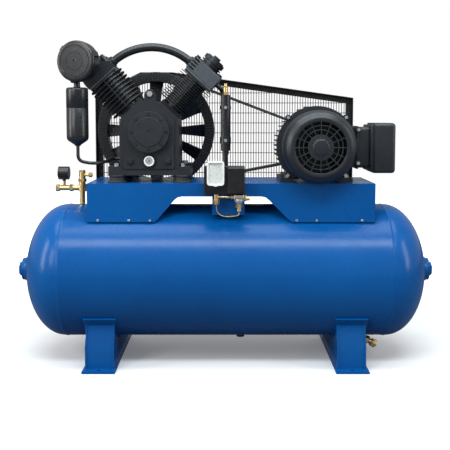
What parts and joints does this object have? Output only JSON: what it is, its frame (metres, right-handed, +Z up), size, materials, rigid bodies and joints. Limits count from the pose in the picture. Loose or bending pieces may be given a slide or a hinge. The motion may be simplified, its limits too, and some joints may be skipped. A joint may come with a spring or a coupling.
{
  "type": "horizontal tank air compressor",
  "caption": "Stationary belt-driven V-twin piston air compressor with finned cylinders, fan-bladed flywheel, foot-mounted motor and mesh belt guard on a blue horizontal air receiver.",
  "frame": {"origin": "centre of the rectangle of the four floor anchor holes, on the floor plane", "axes": "+X along the tank axis towards the motor end, +Y towards the belt guard at the back, +Z up"},
  "size_m": [1.57, 0.535, 1.1846],
  "materials": {
    "receiver_blue": "smooth semi-gloss blue enamel",
    "pump_black": "satin black paint over sand-cast iron",
    "motor_black": "satin black paint over cast and pressed housings",
    "satin_black": "semi-gloss black enamel",
    "zinc_steel": "zinc-plated fasteners",
    "machined_steel": "machined and ground steel",
    "cast_alloy": "cast and turned alloy",
    "winding_core": "laminated core with varnished windings",
    "pulley_iron": "machined cast iron",
    "rubber_black": "moulded black rubber",
    "plastic_black": "fine-textured black moulding",
    "plastic_white": "light moulded window frame",
    "clear_glass": "clear sight window",
    "nickel_plate": "nickel-plated valve body",
    "brass": "turned brass with light tarnish",
    "needle_red": "painted pointer"
  },
  "bodies": {
    "frame": {"tank_shell": "receiver_blue", "end_plugs": "receiver_blue", "foot_left": "receiver_blue", "foot_right": "receiver_blue", "deck": "receiver_blue", "deck_screws": "zinc_steel", "switch_bracket": "receiver_blue", "isolators": "rubber_black", "mount_bolts": "zinc_steel", "crankcase": "pump_black", "front_cover": "pump_black", "rear_cover": "pump_black", "pump_bolts": "zinc_steel", "bearings": "machined_steel", "sight_glass": "clear_glass", "case_plugs": "satin_black", "lifting_lug": "pump_black", "low_cylinder": "pump_black", "high_cylinder": "pump_black", "valve_plates": "machined_steel", "low_head": "pump_black", "high_head": "pump_black", "high_cap": "pump_black", "intercooler": "satin_black", "intake_elbow": "pump_black", "filter_body": "satin_black", "filter_cover": "satin_black", "breather_bottle": "satin_black", "breather_tube": "satin_black", "discharge_pipe": "satin_black", "relief_valve": "brass", "switch_box": "plastic_black", "switch_window": "plastic_white", "switch_valve": "nickel_plate", "switch_fittings": "brass", "outlet_manifold": "brass", "gauge_case": "satin_black", "drain_valve": "brass", "motor_frame": "motor_black", "motor_shields": "motor_black", "motor_stator": "winding_core", "fan_cover": "motor_black", "terminal_box": "motor_black", "terminal_lid": "motor_black", "belts": "rubber_black", "guard_frame": "satin_black", "guard_mesh": "satin_black"},
    "crank": {"crankshaft": "machined_steel", "flywheel": "pump_black"},
    "rotor": {"motor_rotor": "machined_steel", "motor_fan": "plastic_black", "motor_pulley": "pulley_iron"},
    "low_rod_body": {"low_rod": "machined_steel"},
    "high_rod_body": {"high_rod": "machined_steel"},
    "low_piston_body": {"low_piston": "cast_alloy", "low_pin": "machined_steel"},
    "high_piston_body": {"high_piston": "cast_alloy", "high_pin": "machined_steel"},
    "needle": {"gauge_needle": "needle_red"},
    "drain_handle": {"drain_knob": "brass"}
  },
  "joints": [
    {"name": "crank_turn", "type": "hinge", "parent": "frame", "child": "crank", "pos_m": [-0.277, 0, 0.855], "axis": [0, 1, 0], "continuous": true},
    {"name": "motor_turn", "type": "hinge", "parent": "frame", "child": "rotor", "pos_m": [0.333, 0, 0.802], "axis": [0, 1, 0], "continuous": true},
    {"name": "low_rod_turn", "type": "hinge", "parent": "crank", "child": "low_rod_body", "pos_m": [-0.277, -0.013, 0.88], "axis": [0, 1, 0], "continuous": true},
    {"name": "high_rod_turn", "type": "hinge", "parent": "crank", "child": "high_rod_body", "pos_m": [-0.277, 0.013, 0.88], "axis": [0, 1, 0], "continuous": true},
    {"name": "low_piston_stroke", "type": "slide", "parent": "frame", "child": "low_piston_body", "axis": [-0.6691, 0, 0.7431], "range_m": [-0.025, 0.025]},
    {"name": "high_piston_stroke", "type": "slide", "parent": "frame", "child": "high_piston_body", "axis": [0.6691, 0, 0.7431], "range_m": [-0.025, 0.025]},
    {"name": "gauge_turn", "type": "hinge", "parent": "frame", "child": "needle", "pos_m": [-0.6295, 0, 0.697], "axis": [1, 0, 0], "range_deg": [0, 270]},
    {"name": "drain_turn", "type": "hinge", "parent": "frame", "child": "drain_handle", "pos_m": [0.56158, 0, 0.0446], "axis": [0.8796, 0, -0.4756], "range_deg": [0, 90]}
  ],
  "couplings": [
    {"joint": "motor_turn", "follows": "crank_turn", "ratio": 3.8044},
    {"joint": "low_rod_turn", "follows": "crank_turn", "ratio": -1},
    {"joint": "high_rod_turn", "follows": "crank_turn", "ratio": -1}
  ]
}
